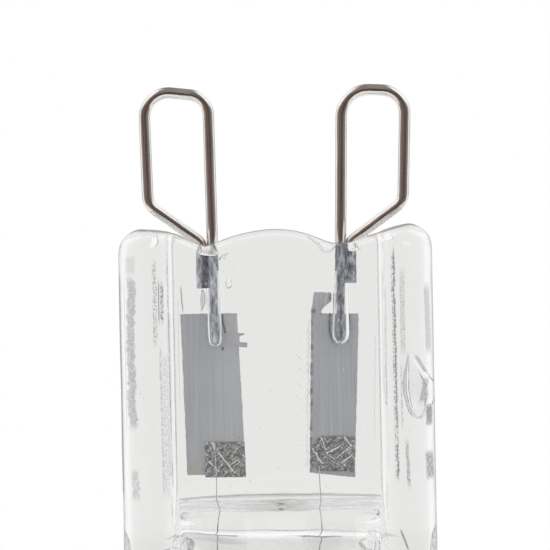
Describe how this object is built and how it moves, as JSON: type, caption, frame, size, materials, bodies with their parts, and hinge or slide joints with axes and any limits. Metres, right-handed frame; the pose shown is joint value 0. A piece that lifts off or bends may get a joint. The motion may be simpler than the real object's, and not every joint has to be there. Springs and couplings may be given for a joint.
{
  "type": "halogen capsule bulb",
  "caption": "Clear quartz halogen capsule bulb with a flat press seal, embedded sealing foils and upright wire-loop contacts that push into a lamp holder.",
  "frame": {"origin": "on the lamp's axis, in the plane where the wire loops leave the glass", "axes": "+Z along the lamp's axis towards the loops, X across the two loops, -Y to the front"},
  "size_m": [0.0144, 0.0138, 0.043],
  "materials": {
    "quartz": "clear, fire-polished",
    "pin_wire": "nickel-plated, tarnished brown inside the seal",
    "foil": "matt, finely streaked along its length",
    "weld_strip": "dull, heat-darkened",
    "weld_tab": "embossed with a fine hatch",
    "tungsten": "drawn wire"
  },
  "bodies": {
    "root": {"quartz_envelope": "quartz", "loop_pin_left": "pin_wire", "loop_pin_right": "pin_wire", "sealing_foil_left": "foil", "sealing_foil_right": "foil", "pin_weld_strip_left": "weld_strip", "pin_weld_strip_right": "weld_strip", "tail_weld_tab_left": "weld_tab", "tail_weld_tab_right": "weld_tab", "filament": "tungsten", "filament_hook": "tungsten"}
  },
  "joints": []
}
